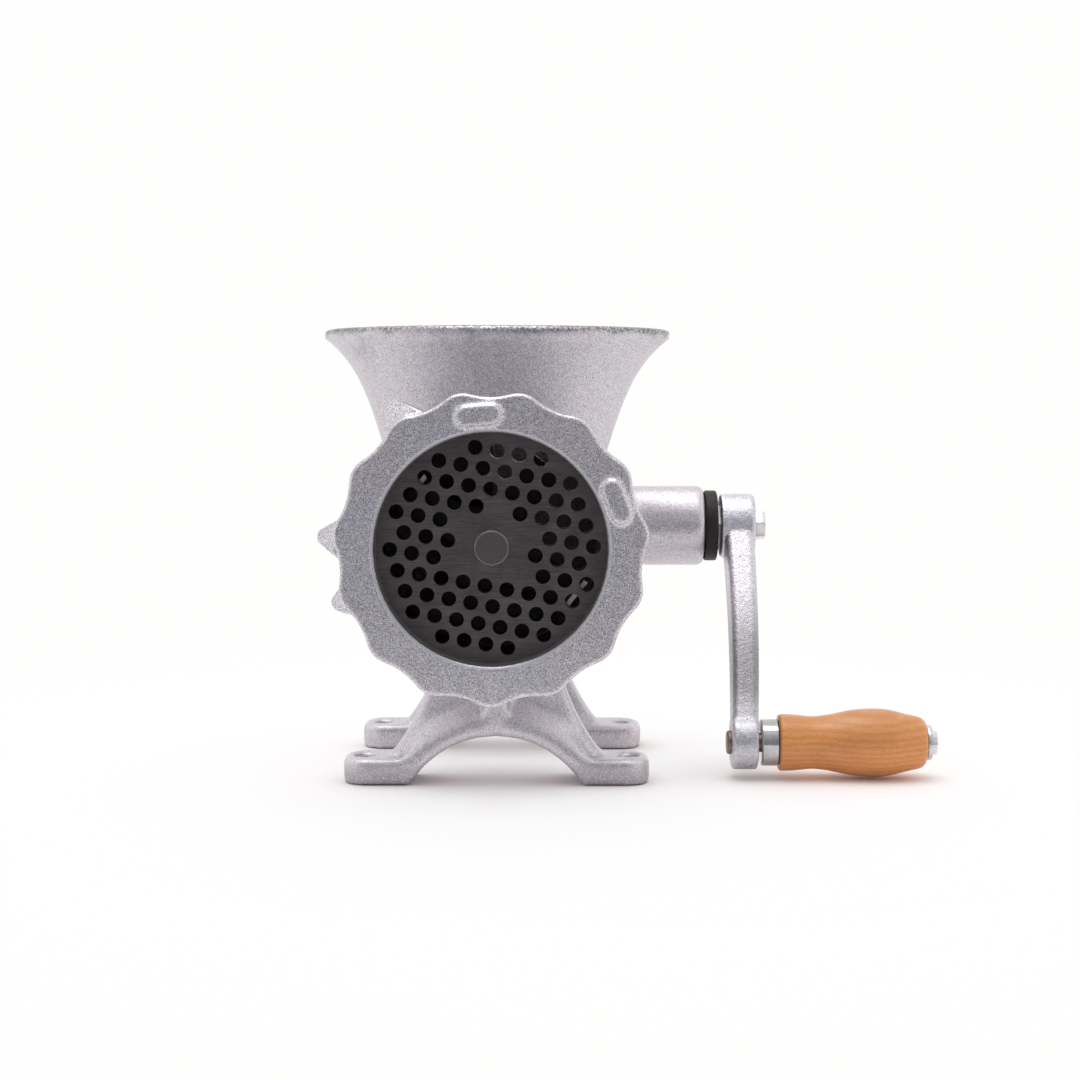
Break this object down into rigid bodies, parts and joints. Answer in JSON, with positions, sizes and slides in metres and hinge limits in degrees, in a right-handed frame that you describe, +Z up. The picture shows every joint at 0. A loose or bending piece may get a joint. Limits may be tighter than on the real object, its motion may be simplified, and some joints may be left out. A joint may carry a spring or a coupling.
{
  "type": "hand crank meat grinder",
  "caption": "Cast hand crank meat grinder with a flared hopper, a scalloped ring nut over a perforated plate, bolted feet and a side crank with a turned wooden grip.",
  "frame": {"origin": "middle of the four bolt holes, on the table top under the feet", "axes": "+X towards the crank, -Y towards the outlet plate, +Z up"},
  "size_m": [0.2235, 0.1617, 0.1632],
  "materials": {
    "tinned_casting": "tinned, with a sand-cast grain",
    "tinned_ring": "tinned, with a sand-cast grain",
    "tinned_screw": "tinned",
    "tinned_arm": "tinned, with a sand-cast grain",
    "tinned_cover": "tinned, with a sand-cast grain",
    "plate_steel": "dark, ground in one direction",
    "knife_steel": "ground",
    "shaft_steel": "turned",
    "gear_steel": "cut, oiled",
    "bush_brass": "turned",
    "seal_rubber": "matt",
    "collar_black": "matt black",
    "zinc_steel": "zinc plated",
    "ferrule_steel": "brushed",
    "grip_wood": "turned, thinly varnished"
  },
  "bodies": {
    "body": {"body_casting": "tinned_casting", "plate_key": "shaft_steel", "thrust_washer": "bush_brass", "drive_seal": "seal_rubber", "drive_bush": "bush_brass", "inner_shaft_bush": "bush_brass", "outer_shaft_bush": "bush_brass", "rear_cover": "tinned_cover", "cover_gasket": "seal_rubber", "cover_screws": "zinc_steel"},
    "plate": {"hole_plate": "plate_steel"},
    "ring": {"ring_nut": "tinned_ring"},
    "screw": {"feed_screw": "tinned_screw", "screw_pin": "shaft_steel", "knife": "knife_steel", "drive_gear": "gear_steel"},
    "crank": {"crank_shaft": "shaft_steel", "drive_pinion": "gear_steel", "pinion_pin": "shaft_steel", "pinion_washer": "bush_brass", "crank_collar": "collar_black", "crank_arm": "tinned_arm", "crank_bolt": "zinc_steel", "handle_stud": "zinc_steel", "grip_washer": "zinc_steel", "grip_nut": "zinc_steel"},
    "grip": {"wooden_grip": "grip_wood", "handle_ferrule": "ferrule_steel"}
  },
  "joints": [
    {"name": "plate_slide", "type": "slide", "parent": "body", "child": "plate", "axis": [0, -1, 0], "range_m": [0, 0.02]},
    {"name": "ring_turn", "type": "hinge", "parent": "plate", "child": "ring", "pos_m": [0, -0.083, 0.0885], "axis": [0, -1, 0], "range_deg": [0, 1800]},
    {"name": "crank_turn", "type": "hinge", "parent": "body", "child": "crank", "pos_m": [0.05, 0.026, 0.0885], "axis": [1, 0, 0], "continuous": true},
    {"name": "screw_turn", "type": "hinge", "parent": "body", "child": "screw", "pos_m": [0, -0.04, 0.0885], "axis": [0, 1, 0], "continuous": true},
    {"name": "grip_spin", "type": "hinge", "parent": "crank", "child": "grip", "pos_m": [0.13, -0.03107, 0.0128], "axis": [1, 0, 0], "continuous": true}
  ],
  "couplings": [
    {"joint": "plate_slide", "follows": "ring_turn", "m_per_rad": 0.0006366},
    {"joint": "screw_turn", "follows": "crank_turn", "ratio": 1}
  ]
}
